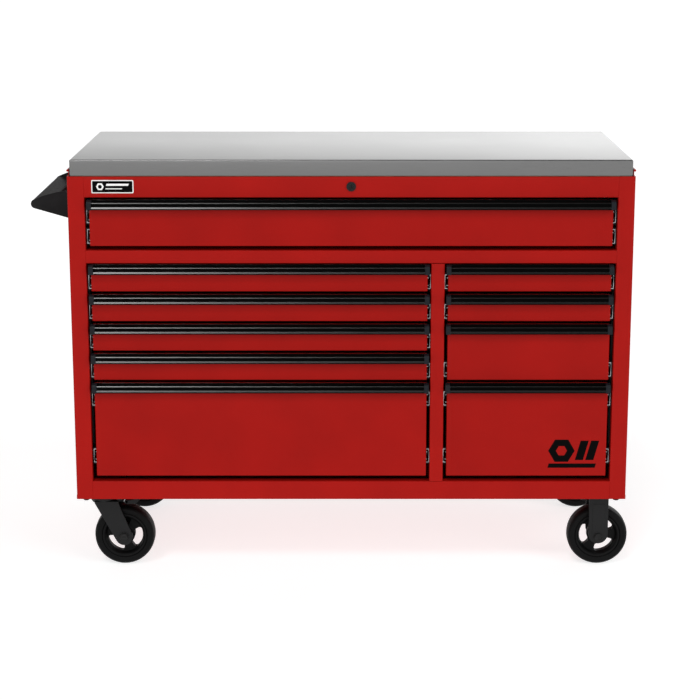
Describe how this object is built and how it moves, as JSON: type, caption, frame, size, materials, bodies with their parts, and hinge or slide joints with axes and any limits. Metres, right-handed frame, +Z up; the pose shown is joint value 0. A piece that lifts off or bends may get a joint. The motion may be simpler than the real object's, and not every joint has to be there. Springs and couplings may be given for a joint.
{
  "type": "rolling tool chest",
  "caption": "Steel roller cabinet with sliding drawers in two banks under a full-width drawer, stainless worktop, side push handle, key lock and casters.",
  "frame": {"origin": "centre of the overall bounding box's base, on the floor", "axes": "+X to the right seen from the front, along the length; +Y from the front to the back; +Z up"},
  "size_m": [1.4924, 0.6238, 1.0396],
  "materials": {
    "red_paint": "satin powder coat",
    "black_metal": "satin powder coat",
    "anodised_black": "bright black anodised",
    "zinc": "bright zinc",
    "zinc_dark": "black zinc",
    "stainless": "brushed",
    "board": "unfinished board",
    "handle_black": "satin moulded",
    "wheel_rubber": "moulded rubber tyre"
  },
  "bodies": {
    "cabinet": {"left_side_panel": "red_paint", "right_side_panel": "red_paint", "back_panel": "red_paint", "base_pan": "red_paint", "top_rail": "red_paint", "mid_shelf": "red_paint", "bottom_rail": "red_paint", "centre_divider": "red_paint", "worktop_skin": "stainless", "worktop_board": "board", "slide_rack_top_left": "zinc", "slide_rack_top_right": "zinc", "slide_rack_left_outer": "zinc", "slide_rack_left_inner": "zinc", "slide_rack_right_inner": "zinc", "slide_rack_right_outer": "zinc", "lock_barrel": "black_metal", "handle_bracket_front": "handle_black", "handle_bracket_rear": "handle_black", "handle_grip": "handle_black", "caster_front_left_plate": "black_metal", "caster_front_right_frame": "black_metal", "caster_front_right_axle": "zinc_dark", "caster_rear_left_plate": "black_metal", "caster_rear_right_frame": "black_metal", "caster_rear_right_axle": "zinc_dark"},
    "top_drawer": {"top_drawer_box": "red_paint", "top_drawer_pull": "anodised_black"},
    "left_drawer_1": {"left_drawer_1_box": "red_paint", "left_drawer_1_pull": "anodised_black"},
    "left_drawer_2": {"left_drawer_2_box": "red_paint", "left_drawer_2_pull": "anodised_black"},
    "left_drawer_3": {"left_drawer_3_box": "red_paint", "left_drawer_3_pull": "anodised_black"},
    "left_drawer_4": {"left_drawer_4_box": "red_paint", "left_drawer_4_pull": "anodised_black"},
    "left_drawer_5": {"left_drawer_5_box": "red_paint", "left_drawer_5_pull": "anodised_black"},
    "right_drawer_1": {"right_drawer_1_box": "red_paint", "right_drawer_1_pull": "anodised_black"},
    "right_drawer_2": {"right_drawer_2_box": "red_paint", "right_drawer_2_pull": "anodised_black"},
    "right_drawer_3": {"right_drawer_3_box": "red_paint", "right_drawer_3_pull": "anodised_black"},
    "right_drawer_4": {"right_drawer_4_box": "red_paint", "right_drawer_4_pull": "anodised_black"},
    "lock_cylinder": {"lock_plug": "zinc", "lock_shaft": "zinc"},
    "latch_bars": {"latch_frame": "zinc"},
    "caster_front_left_fork": {"caster_front_left_fork": "black_metal", "caster_front_left_axle": "zinc_dark"},
    "caster_front_left_wheel": {"caster_front_left_wheel": "wheel_rubber"},
    "caster_front_left_brake": {"caster_front_left_brake": "black_metal"},
    "caster_front_right_wheel": {"caster_front_right_wheel": "wheel_rubber"},
    "caster_rear_left_fork": {"caster_rear_left_fork": "black_metal", "caster_rear_left_axle": "zinc_dark"},
    "caster_rear_left_wheel": {"caster_rear_left_wheel": "wheel_rubber"},
    "caster_rear_left_brake": {"caster_rear_left_brake": "black_metal"},
    "caster_rear_right_wheel": {"caster_rear_right_wheel": "wheel_rubber"}
  },
  "joints": [
    {"name": "top_drawer_slide", "type": "slide", "parent": "cabinet", "child": "top_drawer", "axis": [0, -1, 0], "range_m": [0, 0.48]},
    {"name": "left_drawer_1_slide", "type": "slide", "parent": "cabinet", "child": "left_drawer_1", "axis": [0, -1, 0], "range_m": [0, 0.48]},
    {"name": "left_drawer_2_slide", "type": "slide", "parent": "cabinet", "child": "left_drawer_2", "axis": [0, -1, 0], "range_m": [0, 0.48]},
    {"name": "left_drawer_3_slide", "type": "slide", "parent": "cabinet", "child": "left_drawer_3", "axis": [0, -1, 0], "range_m": [0, 0.48]},
    {"name": "left_drawer_4_slide", "type": "slide", "parent": "cabinet", "child": "left_drawer_4", "axis": [0, -1, 0], "range_m": [0, 0.48]},
    {"name": "left_drawer_5_slide", "type": "slide", "parent": "cabinet", "child": "left_drawer_5", "axis": [0, -1, 0], "range_m": [0, 0.48]},
    {"name": "right_drawer_1_slide", "type": "slide", "parent": "cabinet", "child": "right_drawer_1", "axis": [0, -1, 0], "range_m": [0, 0.48]},
    {"name": "right_drawer_2_slide", "type": "slide", "parent": "cabinet", "child": "right_drawer_2", "axis": [0, -1, 0], "range_m": [0, 0.48]},
    {"name": "right_drawer_3_slide", "type": "slide", "parent": "cabinet", "child": "right_drawer_3", "axis": [0, -1, 0], "range_m": [0, 0.48]},
    {"name": "right_drawer_4_slide", "type": "slide", "parent": "cabinet", "child": "right_drawer_4", "axis": [0, -1, 0], "range_m": [0, 0.48]},
    {"name": "lock_turn", "type": "hinge", "parent": "cabinet", "child": "lock_cylinder", "pos_m": [0.0444, -0.3, 0.975], "axis": [0, 1, 0], "range_deg": [0, 90]},
    {"name": "latch_drop", "type": "slide", "parent": "cabinet", "child": "latch_bars", "axis": [0, 0, -1], "range_m": [0, 0.0179]},
    {"name": "caster_front_left_swivel", "type": "hinge", "parent": "cabinet", "child": "caster_front_left_fork", "pos_m": [-0.5812, -0.2308, 0.17], "axis": [0, 0, 1], "continuous": true},
    {"name": "caster_front_left_roll", "type": "hinge", "parent": "caster_front_left_fork", "child": "caster_front_left_wheel", "pos_m": [-0.5312, -0.2308, 0.0762], "axis": [0, 1, 0], "continuous": true},
    {"name": "caster_front_left_brake_press", "type": "hinge", "parent": "caster_front_left_fork", "child": "caster_front_left_brake", "pos_m": [-0.5252, -0.2308, 0.1655], "axis": [0, 1, 0], "range_deg": [0, 27]},
    {"name": "caster_front_right_roll", "type": "hinge", "parent": "cabinet", "child": "caster_front_right_wheel", "pos_m": [0.67, -0.2308, 0.0762], "axis": [0, 1, 0], "continuous": true},
    {"name": "caster_rear_left_swivel", "type": "hinge", "parent": "cabinet", "child": "caster_rear_left_fork", "pos_m": [-0.5812, 0.2451, 0.17], "axis": [0, 0, 1], "continuous": true},
    {"name": "caster_rear_left_roll", "type": "hinge", "parent": "caster_rear_left_fork", "child": "caster_rear_left_wheel", "pos_m": [-0.5312, 0.2451, 0.0762], "axis": [0, 1, 0], "continuous": true},
    {"name": "caster_rear_left_brake_press", "type": "hinge", "parent": "caster_rear_left_fork", "child": "caster_rear_left_brake", "pos_m": [-0.5252, 0.2451, 0.1655], "axis": [0, 1, 0], "range_deg": [0, 27]},
    {"name": "caster_rear_right_roll", "type": "hinge", "parent": "cabinet", "child": "caster_rear_right_wheel", "pos_m": [0.67, 0.2451, 0.0762], "axis": [0, 1, 0], "continuous": true}
  ],
  "couplings": [
    {"joint": "lock_turn", "follows": "latch_drop", "rad_per_m": 87.72}
  ]
}
